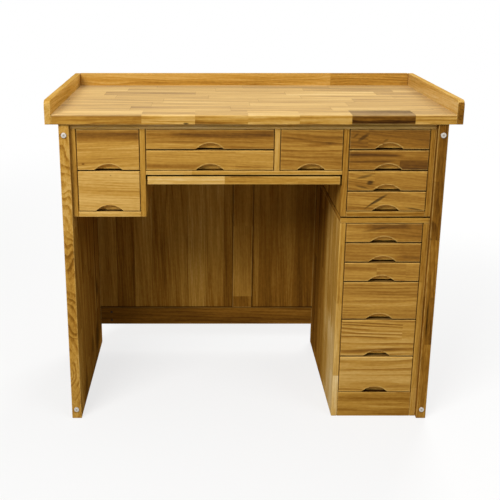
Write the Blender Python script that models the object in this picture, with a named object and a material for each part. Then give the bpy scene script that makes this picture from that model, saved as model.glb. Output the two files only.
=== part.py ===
"""Watchmaker's bench in solid wood.

A worktop with a gallery rail stands on two slab sides. A row of drawers hangs under it, with a
pull-out tray over the knee space, and a drawer pedestal stands on the floor on the right.
Metres, +Z up, +X to the sitter's right, +Y to the back. The origin is on the floor under the
middle of the worktop.
"""

from collections import namedtuple
from math import asin, cos, pi, sin, tan

import bmesh
import bpy
from mathutils import Matrix, Vector

# Clear widths of the drawer bays, from left to right
LEFT_BAY = 0.186
WIDE_BAY = 0.3775
SMALL_BAY = 0.185
RIGHT_BAY = 0.2365

# A shallow drawer takes one row, a deep drawer two
ROW = 0.0628
LEFT_ROWS = (2, 2)
WIDE_ROWS = (1, 1)
SMALL_ROWS = (2,)
RIGHT_ROWS = (1, 1, 1, 1)
PEDESTAL_ROWS = (1, 1, 1, 2, 2, 2)

# Worktop and its gallery rail
WORKTOP_DEPTH = 0.600
WORKTOP_THICKNESS = 0.028
WORKTOP_NOSE = 0.005
SIDE_OVERHANG = 0.0372
RAIL_THICKNESS = 0.018
RAIL_RISE = 0.042
RAIL_CORNER = 0.012
RAIL_REAR_CORNER = 0.006

# Slab sides and the cases between them
PANEL_THICKNESS = 0.030
PANEL_DEPTH = 0.540
PANEL_SETBACK = 0.006
CASE_SETBACK = 0.014
CASE_BOARD = 0.016
CENTRE_BOARD = 0.0125
PEDESTAL_WALL = 0.018
PEDESTAL_GAP = 0.004
SPACER_INSET = 0.022
PLINTH_HEIGHT = 0.084
PLINTH_THICKNESS = 0.018
PEDESTAL_BACK = 0.008

# Framed back of the knee space
BACK_REVEAL = 0.002
BACK_FRAME = 0.020
BACK_PANEL = 0.009
BACK_PANEL_RECESS = 0.007
BACK_TONGUE = 0.008
BACK_RAIL_LIFT = 0.084
BACK_RAIL_HEIGHT = 0.068
BACK_STILE_WIDTH = 0.071

# Drawers and the wooden runners that carry them
FRONT_THICKNESS = 0.018
FRONT_GAP = 0.004
FRONT_SIDE_GAP = 0.0018
FRONT_NOSE = 0.0025
PULL_WIDTH = 0.082
PULL_RISE = 0.019
BOX_SIDE = 0.012
BOX_BOTTOM = 0.006
BOX_BOTTOM_RISE = 0.003
BOX_LIFT = 0.0005
BOX_HEADROOM = 0.005
BOX_SIDE_GAP = 0.001
BOX_REAR_SPACE = 0.040
RUNNER_HEIGHT = 0.012
RUNNER_DEPTH = 0.006
RUNNER_PLAY = 0.0004
RUNNER_SET_IN = 0.003
RUNNER_END = 0.004

# Pull-out tray
TRAY_HEIGHT = 0.024
TRAY_GAP = 0.005
TRAY_SIDE_GAP = 0.005
TRAY_LIP = 0.016
TRAY_LIP_LAP = 0.0015
TRAY_RUNNER_HEIGHT = 0.008
TRAY_BOTTOM = 0.005
TRAY_REAR_SPACE = 0.090

# Bolt caps in the front edges of the slab sides
CAP_RADIUS = 0.008
CAP_HEAD = 0.0035
CAP_RIM = 0.0010
CAP_DIMPLE_RADIUS = 0.0022
CAP_DIMPLE_DEPTH = 0.0010
CAP_STEM_RADIUS = 0.004
CAP_STEM = 0.012
CAP_INSET = 0.032
CAP_STEPS = 20

# Seats between touching pieces, and the rounding of sawn edges
SEAT = 0.0003
MERGE = 0.00003
EDGE = 0.0015
EDGE_STEPS = 2
CORNER_STEPS = 5
PULL_STEPS = 12
ROUND_PROFILE = 0.5
SHARP_ANGLE = pi / 5

Span = namedtuple("Span", "low high")
Bay = namedtuple("Bay", "name x floor rows")
Slot = namedtuple("Slot", "name x floor height")
Runner = namedtuple("Runner", "side z height reach")

LEFT_FACE, RIGHT_FACE = -1, 1


def inset(span, amount):
    """The span drawn in by the same amount at both ends."""
    return Span(span.low + amount, span.high - amount)


def middle(span):
    return (span.low + span.high) / 2


def length(span):
    return span.high - span.low


def centred(span):
    """The span moved to lie about nought."""
    return Span(-length(span) / 2, length(span) / 2)


# Places across the width
INNER_WIDTH = LEFT_BAY + WIDE_BAY + SMALL_BAY + RIGHT_BAY + 5 * CASE_BOARD + 2 * SEAT
INNER = Span(-INNER_WIDTH / 2, INNER_WIDTH / 2)
WORKTOP_X = inset(INNER, -PANEL_THICKNESS - SIDE_OVERHANG)
BETWEEN_RAILS = inset(WORKTOP_X, RAIL_THICKNESS + SEAT)
FITTED = inset(INNER, SEAT)

LEFT_OUTER_X = Span(FITTED.low, FITTED.low + CASE_BOARD)
LEFT_X = Span(LEFT_OUTER_X.high, LEFT_OUTER_X.high + LEFT_BAY)
LEFT_INNER_X = Span(LEFT_X.high, LEFT_X.high + CASE_BOARD)
WIDE_X = Span(LEFT_INNER_X.high, LEFT_INNER_X.high + WIDE_BAY)
DIVIDER_X = Span(WIDE_X.high, WIDE_X.high + CASE_BOARD)
SMALL_X = Span(DIVIDER_X.high, DIVIDER_X.high + SMALL_BAY)
RIGHT_INNER_X = Span(SMALL_X.high, SMALL_X.high + CASE_BOARD)
RIGHT_X = Span(RIGHT_INNER_X.high, RIGHT_INNER_X.high + RIGHT_BAY)
RIGHT_OUTER_X = Span(RIGHT_X.high, RIGHT_X.high + CASE_BOARD)
CENTRE_X = Span(WIDE_X.low, SMALL_X.high)
PEDESTAL_X = Span(RIGHT_INNER_X.low, RIGHT_OUTER_X.high)
PEDESTAL_BAY_X = inset(PEDESTAL_X, PEDESTAL_WALL)
KNEE_X = Span(FITTED.low, PEDESTAL_X.low - SEAT)

# Places from front to back
WORKTOP_Y = Span(-WORKTOP_DEPTH / 2, WORKTOP_DEPTH / 2)
PANEL_FRONT = WORKTOP_Y.low + PANEL_SETBACK
PANEL_Y = Span(PANEL_FRONT, PANEL_FRONT + PANEL_DEPTH)
CASE_FRONT = PANEL_Y.low + CASE_SETBACK
BACK_Y = Span(PANEL_Y.high - BACK_REVEAL - BACK_FRAME, PANEL_Y.high - BACK_REVEAL)
BACK_PANEL_FRONT = BACK_Y.low + BACK_PANEL_RECESS
BACK_PANEL_Y = Span(BACK_PANEL_FRONT, BACK_PANEL_FRONT + BACK_PANEL)
CASE_Y = Span(CASE_FRONT, BACK_Y.low - SEAT)
PEDESTAL_Y = Span(CASE_FRONT, PANEL_Y.high)
PEDESTAL_BACK_Y = Span(PANEL_Y.high - PEDESTAL_BACK, PANEL_Y.high)
FRONT_Y = Span(CASE_FRONT, CASE_FRONT + FRONT_THICKNESS)
BOX_Y = Span(FRONT_Y.high + SEAT, CASE_Y.high - BOX_REAR_SPACE)
RUNNER_Y = Span(BOX_Y.low + RUNNER_END, CASE_Y.high - RUNNER_END)
PLINTH_Y = Span(CASE_FRONT, CASE_FRONT + PLINTH_THICKNESS)

# Places from the floor up
PEDESTAL_Z = Span(PLINTH_HEIGHT, PLINTH_HEIGHT + sum(PEDESTAL_ROWS) * ROW)
PEDESTAL_TOP_Z = Span(PEDESTAL_Z.high, PEDESTAL_Z.high + CASE_BOARD)
CASE_FLOOR_Z = Span(PEDESTAL_TOP_Z.high + PEDESTAL_GAP, PEDESTAL_TOP_Z.high + PEDESTAL_GAP + CASE_BOARD)
CASE_Z = Span(CASE_FLOOR_Z.high, CASE_FLOOR_Z.high + sum(RIGHT_ROWS) * ROW)
CASE_TOP_Z = Span(CASE_Z.high, CASE_Z.high + CASE_BOARD)
CENTRE_Z = Span(CASE_Z.high - sum(WIDE_ROWS) * ROW, CASE_Z.high)
CENTRE_FLOOR_Z = Span(CENTRE_Z.low - CENTRE_BOARD, CENTRE_Z.low)
TRAY_Z = Span(CENTRE_FLOOR_Z.low - TRAY_GAP - TRAY_HEIGHT, CENTRE_FLOOR_Z.low - TRAY_GAP)
WORKTOP_Z = Span(CASE_TOP_Z.high + SEAT, CASE_TOP_Z.high + SEAT + WORKTOP_THICKNESS)
RAIL_Z = Span(WORKTOP_Z.low, WORKTOP_Z.high + RAIL_RISE)
PANEL_Z = Span(0.0, CASE_TOP_Z.high)
WALL_Z = Span(CASE_FLOOR_Z.low, CASE_Z.high - SEAT)
BACK_RAIL_Z = Span(BACK_RAIL_LIFT, BACK_RAIL_LIFT + BACK_RAIL_HEIGHT)

BAYS = (
    Bay("left", LEFT_X, CASE_Z.low, LEFT_ROWS),
    Bay("wide", WIDE_X, CENTRE_Z.low, WIDE_ROWS),
    Bay("small", SMALL_X, CENTRE_Z.low, SMALL_ROWS),
    Bay("right", RIGHT_X, CASE_Z.low, RIGHT_ROWS),
    Bay("pedestal", PEDESTAL_BAY_X, PEDESTAL_Z.low, PEDESTAL_ROWS),
)


def finish(name, colour, roughness, metallic=0.0):
    """One Principled material."""
    material = bpy.data.materials.new(name)
    material.use_nodes = True
    shader = material.node_tree.nodes["Principled BSDF"]
    shader.inputs["Base Color"].default_value = (*colour, 1.0)
    shader.inputs["Roughness"].default_value = roughness
    shader.inputs["Metallic"].default_value = metallic
    material.diffuse_color = (*colour, 1.0)
    return material


def piece(name, shape, material, at=(0.0, 0.0, 0.0), parent=None):
    """Puts a shape in the scene as one named piece of the bench."""
    bmesh.ops.recalc_face_normals(shape, faces=shape.faces)
    mesh = bpy.data.meshes.new(name)
    shape.to_mesh(mesh)
    shape.free()
    if material:
        mesh.materials.append(material)
    made = bpy.data.objects.new(name, mesh)
    made.location = at
    made.parent = parent
    bpy.context.collection.objects.link(made)
    return made


def combine(made, operation, shape, name):
    """Adds a shape to a piece, or cuts it away, through a hidden helper in the piece's own frame."""
    helper = piece(name, shape, None, at=made.location, parent=made.parent)
    helper.hide_render = True
    helper.display_type = "WIRE"
    modifier = made.modifiers.new(name, "BOOLEAN")
    modifier.operation = operation
    modifier.solver = "EXACT"
    modifier.object = helper


def round_over(shape, edges, radius, steps=EDGE_STEPS):
    """Rounds edges of a shape to a radius."""
    bmesh.ops.bevel(
        shape, geom=edges, offset=radius, segments=steps, profile=ROUND_PROFILE, affect="EDGES"
    )


def add_block(shape, x, y, z):
    """Adds a block between three spans to a shape."""
    place = Matrix.Translation((middle(x), middle(y), middle(z)))
    sizes = Matrix.Diagonal((length(x), length(y), length(z), 1.0))
    bmesh.ops.create_cube(shape, size=1.0, matrix=place @ sizes)


def cuboid(x, y, z, edge=0.0):
    """A block between three spans, with its edges rounded over."""
    shape = bmesh.new()
    add_block(shape, x, y, z)
    if edge:
        round_over(shape, shape.edges[:], edge)
    return shape


def board(name, material, x, y, z, edge=EDGE):
    """A plain board, with its origin in its middle."""
    at = Vector((middle(x), middle(y), middle(z)))
    return piece(name, cuboid(centred(x), centred(y), centred(z), edge), material, at)


def filleted(corners):
    """An outline through corners (a, b, radius), each with a radius turned into an arc."""
    points = []
    for i, (a, b, radius) in enumerate(corners):
        corner = Vector((a, b))
        if not radius:
            points.append(corner)
            continue
        before = (Vector(corners[i - 1][:2]) - corner).normalized()
        after = (Vector(corners[(i + 1) % len(corners)][:2]) - corner).normalized()
        half = before.angle(after) / 2
        start = corner + before * radius / tan(half)
        turn = pi - 2 * half
        inward = (before + after).normalized()
        centre = start + (inward - before * inward.dot(before)).normalized() * radius
        sign = 1.0 if before.cross(after) < 0 else -1.0
        for step in range(CORNER_STEPS + 1):
            swing = Matrix.Rotation(sign * turn * step / CORNER_STEPS, 2)
            points.append(centre + swing @ (start - centre))
    return points


def prism(outline, axis, span):
    """An outline carried along X, where it is (y, z), or along Y, where it is (x, z)."""
    shape = bmesh.new()
    place = (lambda t, a, b: (t, a, b)) if axis == "X" else (lambda t, a, b: (a, t, b))
    rings = [[shape.verts.new(place(t, *p)) for p in outline] for t in span]
    for ring in rings:
        shape.faces.new(ring)
    count = len(outline)
    for i in range(count):
        j = (i + 1) % count
        shape.faces.new((rings[0][i], rings[0][j], rings[1][j], rings[1][i]))
    return shape


def slots(bay):
    """The drawer places of a bay, numbered from the top down."""
    ceiling = bay.floor + sum(bay.rows) * ROW
    for number, rows in enumerate(bay.rows, 1):
        ceiling -= rows * ROW
        yield Slot(f"drawer_{bay.name}_{number}", bay.x, ceiling, rows * ROW)


def box_span(slot):
    """How high a drawer's box stands in its place."""
    low = slot.floor + FRONT_GAP / 2 + BOX_LIFT
    return Span(low, slot.floor + slot.height - FRONT_GAP / 2 - BOX_HEADROOM)


def bay_runners(name, side):
    """The runners on one face of a wall, one beside each drawer of the named bay."""
    bay = next(b for b in BAYS if b.name == name)
    return [Runner(side, middle(box_span(s)), RUNNER_HEIGHT, RUNNER_DEPTH) for s in slots(bay)]


def tray_runner(side):
    return [Runner(side, middle(TRAY_Z), TRAY_RUNNER_HEIGHT, TRAY_SIDE_GAP + RUNNER_DEPTH)]


def wall(name, material, x, y, z, runners):
    """A case wall with wooden runners let into its faces."""
    made = board(name, material, x, y, z)
    strips = bmesh.new()
    along = Span(RUNNER_Y.low - made.location.y, RUNNER_Y.high - made.location.y)
    for runner in runners:
        face = (x.low if runner.side == LEFT_FACE else x.high) - made.location.x
        across = sorted((face - runner.side * RUNNER_SET_IN, face + runner.side * runner.reach))
        centre = runner.z - made.location.z
        tall = Span(centre - runner.height / 2, centre + runner.height / 2)
        add_block(strips, Span(*across), along, tall)
    combine(made, "UNION", strips, f"{name}_runners")


def sink(shape, faces, rim, depth):
    """Sinks a flat face straight in by a depth along Z, leaving a rim round it."""
    bmesh.ops.inset_region(shape, faces=faces, thickness=rim, use_even_offset=True)
    sunk = bmesh.ops.extrude_face_region(shape, geom=faces)
    moved = [v for v in sunk["geom"] if isinstance(v, bmesh.types.BMVert)]
    bmesh.ops.translate(shape, verts=moved, vec=(0.0, 0.0, depth))
    bmesh.ops.delete(shape, geom=faces, context="FACES")


def grooved_box(width, depth, height, bottom, rise, runner_height, runner_entry):
    """An open box grooved along both sides for its runners, with its bottom let in above its lower edge.

    It starts at y = 0 and is centred on x and z.
    """
    half, tall = width / 2, height / 2
    deep, slit = half - runner_entry - RUNNER_PLAY, runner_height / 2 + RUNNER_PLAY
    right = [(half, -tall), (half, -slit), (deep, -slit), (deep, slit), (half, slit), (half, tall)]
    left = [(-a, b) for a, b in reversed(right)]
    shape = prism(right + left, "Y", Span(0.0, depth))
    bmesh.ops.recalc_face_normals(shape, faces=shape.faces)
    by_height = sorted(shape.faces, key=lambda face: face.calc_center_median().z)
    underside, top = by_height[0], by_height[-1]
    sink(shape, [top], BOX_SIDE, bottom + rise - height)
    if rise:
        sink(shape, [underside], BOX_SIDE, rise)
    return shape


def pull_outline(width, height):
    """A drawer front seen from the front, with the half-moon finger pull in its lower edge."""
    radius = (PULL_WIDTH**2 / 4 + PULL_RISE**2) / (2 * PULL_RISE)
    reach = asin(PULL_WIDTH / 2 / radius)
    low, high, half = -height / 2, height / 2, width / 2
    centre = Vector((0.0, low + PULL_RISE - radius))
    arc = []
    for step in range(PULL_STEPS + 1):
        swing = Matrix.Rotation(reach - 2 * reach * step / PULL_STEPS, 2)
        arc.append(centre + swing @ Vector((0.0, radius)))
    return [Vector((-half, low)), *arc, Vector((half, low)), Vector((half, high)), Vector((-half, high))]


def drawer(slot, face_material, box_material):
    """A drawer on its own empty: a front with a finger pull, and a grooved box behind it."""
    width = length(slot.x) - 2 * FRONT_SIDE_GAP
    height = slot.height - FRONT_GAP
    slide = bpy.data.objects.new(f"{slot.name}_slide", None)
    slide.location = (middle(slot.x), FRONT_Y.low, slot.floor + slot.height / 2)
    bpy.context.collection.objects.link(slide)

    face = prism(pull_outline(width, height), "Y", Span(0.0, FRONT_THICKNESS))
    show = min(face.faces, key=lambda f: f.calc_center_median().y)
    round_over(face, show.edges[:], FRONT_NOSE)
    piece(f"{slot.name}_front", face, face_material, parent=slide)

    span = box_span(slot)
    box_width = length(slot.x) - 2 * BOX_SIDE_GAP
    entry = RUNNER_DEPTH - BOX_SIDE_GAP
    box = grooved_box(
        box_width, length(BOX_Y), length(span), BOX_BOTTOM, BOX_BOTTOM_RISE, RUNNER_HEIGHT, entry
    )
    at = (0.0, BOX_Y.low - FRONT_Y.low, middle(span) - slide.location.z)
    piece(f"{slot.name}_box", box, box_material, at, slide)


def tray(material):
    """The shallow tray over the knee space, with a lip that covers the ends of its grooves."""
    width = length(CENTRE_X) - 2 * TRAY_SIDE_GAP
    depth = length(CASE_Y) - TRAY_LIP - TRAY_REAR_SPACE
    slide = bpy.data.objects.new("tray_slide", None)
    slide.location = (middle(CENTRE_X), CASE_FRONT, middle(TRAY_Z))
    bpy.context.collection.objects.link(slide)
    height = TRAY_HEIGHT - 2 * TRAY_LIP_LAP
    box_width = width - 2 * TRAY_LIP_LAP
    entry = RUNNER_DEPTH - TRAY_LIP_LAP
    shape = grooved_box(box_width, depth, height, TRAY_BOTTOM, 0.0, TRAY_RUNNER_HEIGHT, entry)
    made = piece("tray", shape, material, (0.0, TRAY_LIP, 0.0), slide)
    lip = cuboid(
        Span(-width / 2, width / 2),
        Span(-TRAY_LIP, TRAY_LIP_LAP),
        Span(-TRAY_HEIGHT / 2, TRAY_HEIGHT / 2),
        EDGE,
    )
    combine(made, "UNION", lip, "tray_lip")


def worktop(material):
    nose = filleted(
        [
            (WORKTOP_Y.low, WORKTOP_Z.low, EDGE),
            (WORKTOP_Y.high - RAIL_THICKNESS - SEAT, WORKTOP_Z.low, 0.0),
            (WORKTOP_Y.high - RAIL_THICKNESS - SEAT, WORKTOP_Z.high, 0.0),
            (WORKTOP_Y.low, WORKTOP_Z.high, WORKTOP_NOSE),
        ]
    )
    at = Vector((WORKTOP_Y.low, WORKTOP_Z.low))
    shape = prism([p - at for p in nose], "X", BETWEEN_RAILS)
    piece("worktop", shape, material, (0.0, *at))


def side_rail(name, x, material):
    """A gallery rail along one end of the worktop, with its upper front corner rounded off."""
    outline = filleted(
        [
            (0.0, 0.0, EDGE),
            (WORKTOP_DEPTH, 0.0, EDGE),
            (WORKTOP_DEPTH, length(RAIL_Z), RAIL_REAR_CORNER),
            (0.0, length(RAIL_Z), RAIL_CORNER),
        ]
    )
    shape = prism(outline, "X", Span(0.0, RAIL_THICKNESS))
    ends = [f for f in shape.faces if len(f.verts) == len(outline)]
    rims = {edge for face in ends for edge in face.edges}
    round_over(shape, list(rims), EDGE, steps=1)
    piece(name, shape, material, (x.low, WORKTOP_Y.low, RAIL_Z.low))


def grooved_board(name, material, x, z, groove_on_top):
    """A board of the back frame with a groove in one long edge for the back panel."""
    y = Span(0.0, BACK_FRAME)
    slit = Span(BACK_PANEL_RECESS - SEAT, BACK_PANEL_RECESS + BACK_PANEL + SEAT)
    edge, foot = (length(z), 0.0) if groove_on_top else (0.0, length(z))
    deep = edge - BACK_TONGUE if groove_on_top else edge + BACK_TONGUE
    outline = [
        Vector(p)
        for p in (
            (y.low, foot),
            (y.high, foot),
            (y.high, edge),
            (slit.high, edge),
            (slit.high, deep),
            (slit.low, deep),
            (slit.low, edge),
            (y.low, edge),
        )
    ]
    shape = prism(outline, "X", centred(x))
    piece(name, shape, material, (middle(x), BACK_Y.low, z.low))


def pedestal_top(material):
    """The pedestal's top, with a spacer that carries the case above it behind a shadow gap."""
    made = board("pedestal_top", material, PEDESTAL_X, PEDESTAL_Y, PEDESTAL_TOP_Z)
    across, along, upright = centred(PEDESTAL_X), centred(PEDESTAL_Y), centred(PEDESTAL_TOP_Z)
    spacer = cuboid(
        inset(across, SPACER_INSET),
        inset(along, SPACER_INSET),
        Span(middle(upright), upright.high + PEDESTAL_GAP - SEAT),
    )
    combine(made, "UNION", spacer, "pedestal_spacer")


def cap(name, x, z, material):
    """A bolt cap: a domed head with a small dimple, turned about its stem."""
    profile = [(0.0, CAP_DIMPLE_DEPTH - CAP_HEAD)]
    for step in range(CORNER_STEPS + 1):
        turn = pi / 2 * step / CORNER_STEPS
        radius = CAP_DIMPLE_RADIUS + (CAP_RADIUS - CAP_DIMPLE_RADIUS) * sin(turn)
        profile.append((radius, -CAP_RIM - (CAP_HEAD - CAP_RIM) * cos(turn)))
    profile += [(CAP_RADIUS, -SEAT), (CAP_STEM_RADIUS, -SEAT), (CAP_STEM_RADIUS, CAP_STEM), (0.0, CAP_STEM)]
    shape = bmesh.new()
    line = [shape.verts.new((r, y, 0.0)) for r, y in profile]
    for a, b in zip(line, line[1:]):
        shape.edges.new((a, b))
    bmesh.ops.spin(
        shape,
        geom=shape.verts[:] + shape.edges[:],
        cent=(0.0, 0.0, 0.0),
        axis=(0.0, 1.0, 0.0),
        angle=2 * pi,
        steps=CAP_STEPS,
    )
    bmesh.ops.remove_doubles(shape, verts=shape.verts[:], dist=MERGE)
    made = piece(name, shape, material, (x, PANEL_Y.low, z))
    made.data.shade_smooth()
    made.data.set_sharp_from_angle(angle=SHARP_ANGLE)


def slab_side(side, x, material, cap_material):
    """A slab side, bored in its front edge for two bolt caps."""
    made = board(f"side_panel_{side}", material, x, PANEL_Y, PANEL_Z)
    heights = {"upper": PANEL_Z.high - CAP_INSET, "lower": PANEL_Z.low + CAP_INSET}
    bores = bmesh.new()
    for z in heights.values():
        front = Vector((0.0, PANEL_Y.low, z)) - Vector((0.0, *made.location.yz))
        bmesh.ops.create_cone(
            bores,
            cap_ends=True,
            segments=CAP_STEPS,
            radius1=CAP_STEM_RADIUS + SEAT,
            radius2=CAP_STEM_RADIUS + SEAT,
            depth=2 * (CAP_STEM + SEAT),
            matrix=Matrix.Translation(front) @ Matrix.Rotation(pi / 2, 4, "X"),
        )
    combine(made, "DIFFERENCE", bores, f"side_panel_{side}_bores")
    for place, z in heights.items():
        cap(f"cap_{side}_{place}", middle(x), z, cap_material)


def build():
    for old in list(bpy.data.objects):
        bpy.data.objects.remove(old)

    pale = finish("worktop_varnish", (0.52, 0.33, 0.13), 0.38)
    honey = finish("slab_varnish", (0.50, 0.28, 0.08), 0.42)
    amber = finish("case_varnish", (0.46, 0.25, 0.065), 0.42)
    front = finish("drawer_front_varnish", (0.48, 0.27, 0.07), 0.40)
    shaded = finish("back_varnish", (0.36, 0.19, 0.055), 0.50)
    bare = finish("drawer_box_wood", (0.55, 0.38, 0.19), 0.60)
    silver = finish("cap_metal", (0.78, 0.77, 0.74), 0.30, 1.0)

    worktop(pale)
    side_rail("rail_left", Span(WORKTOP_X.low, WORKTOP_X.low + RAIL_THICKNESS), honey)
    side_rail("rail_right", Span(WORKTOP_X.high - RAIL_THICKNESS, WORKTOP_X.high), honey)
    board("rail_back", honey, BETWEEN_RAILS, Span(WORKTOP_Y.high - RAIL_THICKNESS, WORKTOP_Y.high), RAIL_Z)

    slab_side("left", Span(INNER.low - PANEL_THICKNESS, INNER.low), honey, silver)
    slab_side("right", Span(INNER.high, INNER.high + PANEL_THICKNESS), honey, silver)

    board("case_top", amber, FITTED, CASE_Y, CASE_TOP_Z)
    wall("left_case_outer_wall", amber, LEFT_OUTER_X, CASE_Y, WALL_Z, bay_runners("left", RIGHT_FACE))
    wall(
        "left_case_inner_wall",
        amber,
        LEFT_INNER_X,
        CASE_Y,
        WALL_Z,
        bay_runners("left", LEFT_FACE) + bay_runners("wide", RIGHT_FACE) + tray_runner(RIGHT_FACE),
    )
    wall(
        "centre_divider",
        amber,
        DIVIDER_X,
        CASE_Y,
        inset(CENTRE_Z, SEAT),
        bay_runners("wide", LEFT_FACE) + bay_runners("small", RIGHT_FACE),
    )
    wall(
        "right_case_inner_wall",
        amber,
        RIGHT_INNER_X,
        CASE_Y,
        WALL_Z,
        bay_runners("small", LEFT_FACE) + bay_runners("right", RIGHT_FACE) + tray_runner(LEFT_FACE),
    )
    wall("right_case_outer_wall", amber, RIGHT_OUTER_X, CASE_Y, WALL_Z, bay_runners("right", LEFT_FACE))
    board("left_case_bottom", amber, inset(LEFT_X, SEAT), CASE_Y, CASE_FLOOR_Z)
    board("centre_bottom", amber, inset(CENTRE_X, SEAT), CASE_Y, CENTRE_FLOOR_Z)
    board("right_case_bottom", amber, inset(RIGHT_X, SEAT), CASE_Y, CASE_FLOOR_Z)

    grooved_board("case_back", shaded, FITTED, Span(CASE_FLOOR_Z.low, CASE_TOP_Z.high), False)
    grooved_board("back_rail", shaded, KNEE_X, BACK_RAIL_Z, True)
    tongue = BACK_TONGUE - SEAT
    panel_z = Span(BACK_RAIL_Z.high - tongue, CASE_FLOOR_Z.low + tongue)
    board("back_panel", shaded, KNEE_X, BACK_PANEL_Y, panel_z, 0.0)
    board(
        "back_stile",
        shaded,
        Span(-BACK_STILE_WIDTH / 2, BACK_STILE_WIDTH / 2),
        Span(BACK_Y.low, BACK_PANEL_Y.low - SEAT),
        Span(BACK_RAIL_Z.high + SEAT, CASE_FLOOR_Z.low - SEAT),
    )

    upright = Span(0.0, PEDESTAL_Z.high - SEAT)
    inner_x = Span(PEDESTAL_X.low, PEDESTAL_BAY_X.low)
    outer_x = Span(PEDESTAL_BAY_X.high, PEDESTAL_X.high)
    wall("pedestal_inner_wall", honey, inner_x, PEDESTAL_Y, upright, bay_runners("pedestal", RIGHT_FACE))
    wall("pedestal_outer_wall", honey, outer_x, PEDESTAL_Y, upright, bay_runners("pedestal", LEFT_FACE))
    pedestal_top(amber)
    between = inset(PEDESTAL_BAY_X, SEAT)
    board("plinth", amber, between, PLINTH_Y, Span(0.0, PLINTH_HEIGHT))
    floor_y = Span(PLINTH_Y.high + SEAT, PEDESTAL_BACK_Y.low - SEAT)
    board("pedestal_bottom", amber, between, floor_y, Span(PLINTH_HEIGHT - CASE_BOARD, PLINTH_HEIGHT))
    back_z = Span(PLINTH_HEIGHT - CASE_BOARD, PEDESTAL_Z.high - SEAT)
    board("pedestal_back", shaded, between, PEDESTAL_BACK_Y, back_z)

    for bay in BAYS:
        for slot in slots(bay):
            drawer(slot, front, bare)
    tray(amber)


build()
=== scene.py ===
"""Watchmaker's bench: varnished boards, bare drawer boxes, bolts and screws, with a studio and a camera."""
import math
from typing import NamedTuple

import bmesh
import bpy
import numpy as np
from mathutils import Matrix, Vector


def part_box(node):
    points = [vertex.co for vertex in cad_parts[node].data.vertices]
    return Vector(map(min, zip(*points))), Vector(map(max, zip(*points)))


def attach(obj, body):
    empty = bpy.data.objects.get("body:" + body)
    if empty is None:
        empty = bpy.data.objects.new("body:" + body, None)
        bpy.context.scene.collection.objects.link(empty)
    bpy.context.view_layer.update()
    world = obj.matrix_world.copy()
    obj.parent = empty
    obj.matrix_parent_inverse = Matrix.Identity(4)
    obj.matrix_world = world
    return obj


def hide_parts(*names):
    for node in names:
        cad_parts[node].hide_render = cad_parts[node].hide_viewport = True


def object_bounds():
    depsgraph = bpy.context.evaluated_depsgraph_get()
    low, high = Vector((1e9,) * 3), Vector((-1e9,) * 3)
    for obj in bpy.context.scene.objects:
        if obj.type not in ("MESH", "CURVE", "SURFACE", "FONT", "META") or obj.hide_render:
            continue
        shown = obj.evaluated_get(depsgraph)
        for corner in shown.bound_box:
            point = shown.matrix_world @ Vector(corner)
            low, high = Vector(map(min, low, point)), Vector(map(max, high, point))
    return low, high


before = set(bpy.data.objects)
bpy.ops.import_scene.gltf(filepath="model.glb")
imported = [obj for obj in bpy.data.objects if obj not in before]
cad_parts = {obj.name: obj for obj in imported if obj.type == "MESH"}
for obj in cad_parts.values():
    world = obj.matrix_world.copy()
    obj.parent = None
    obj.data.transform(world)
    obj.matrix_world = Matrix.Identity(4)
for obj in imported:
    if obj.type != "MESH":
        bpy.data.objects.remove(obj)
cad_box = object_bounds()


class Board(NamedTuple):
    """One board's wood: lengths in metres, joints and places in shares of the board's box."""

    grain: str  # the axis that the fibre follows
    face: str  # the axis through the board
    tones: tuple = (0.55,)  # of its blocks end to end, from 0 for heart to 1 for sap
    joints: tuple = ()  # between those blocks
    figure: tuple = (0.06,)  # how strong each block's growth rings are
    gap: float = 0.010  # from ring to ring
    streak: float = 0.5  # how far streaks move the tone
    slope: float = 0.03  # how far the fibre climbs across the board
    stave: float = None  # width of the staves, where it is glued from staves
    block: float = None  # length of the blocks in a stave
    spread: float = 0.0  # how far the tone differs from block to block
    bands: tuple = ()
    patch: tuple = None
    marks: tuple = ()
    end: float = -0.12  # how far the tone moves on end grain
    fade: float = 0.0  # how far the tone moves from one end to the other
    lead: tuple = None
    painted_sheen: float = 0.0  # how far painted sheen pales the upper face


class Lead(NamedTuple):
    """A board's first stave, with blocks of its own and, where given, rings and a slope of its own."""

    tones: tuple
    joints: tuple
    figure: float = None
    slope: float = None


class Band(NamedTuple):
    """A soft band of another tone along the fibre, in the wood or as painted light and shade, in shares of
    the board's width and length.
    """

    height: float
    half: float  # half its width
    wave: float  # how far its edges wander
    strength: float  # how far it moves the tone
    start: float = 0.0
    stop: float = 1.0


class Patch(NamedTuple):
    """An inlaid block, in shares of the board's length and width."""

    left: float
    right: float
    under: float
    over: float
    tone: float


class Mark(NamedTuple):
    """A dark mark, for stains and for lines of painted shade: an ellipsoid with its centre in shares of the
    board's box.
    """

    centre: tuple
    radii: tuple  # in metres
    strength: float
    tilt: float = 0.0  # in degrees about Y, its right end going up


class Figure(NamedTuple):
    """What the fibre draws on clear wood: how far it moves the tone, and the noises behind it."""

    shift: "Field"
    streaks: "Field"
    lines: "Field"
    fibre: "Field"
    pores: "Field"


class Scale(NamedTuple):
    """A noise drawn out along the fibre: its length and width in metres, and how much finer detail it has."""

    long: float
    wide: float
    detail: float


class Finish(NamedTuple):
    """A varnish: its gloss, its clear coat and how far its edges are paled by wear and painted highlight."""

    gloss: float
    coat: float
    wear_and_highlight: float


class Metal(NamedTuple):
    """A metal's screen colours, dull and bright and, as painted shade, behind its face, and how rough it is.
    """

    dull: tuple
    bright: tuple
    deep: tuple
    roughness: float


AXES = {"X": 0, "Y": 1, "Z": 2}
WHITE = (1.0, 1.0, 1.0, 1.0)

# Camera: where it stands, how far it looks down, its lens and how far the lens is shifted
CAMERA_PLACE = (-0.143, -2.557, 1.395)
CAMERA_DOWN = math.radians(15.4)
SENSOR = 36.0
LENS_PER_SENSOR = 1.6
SHIFT = (0.092, -0.13)

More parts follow.
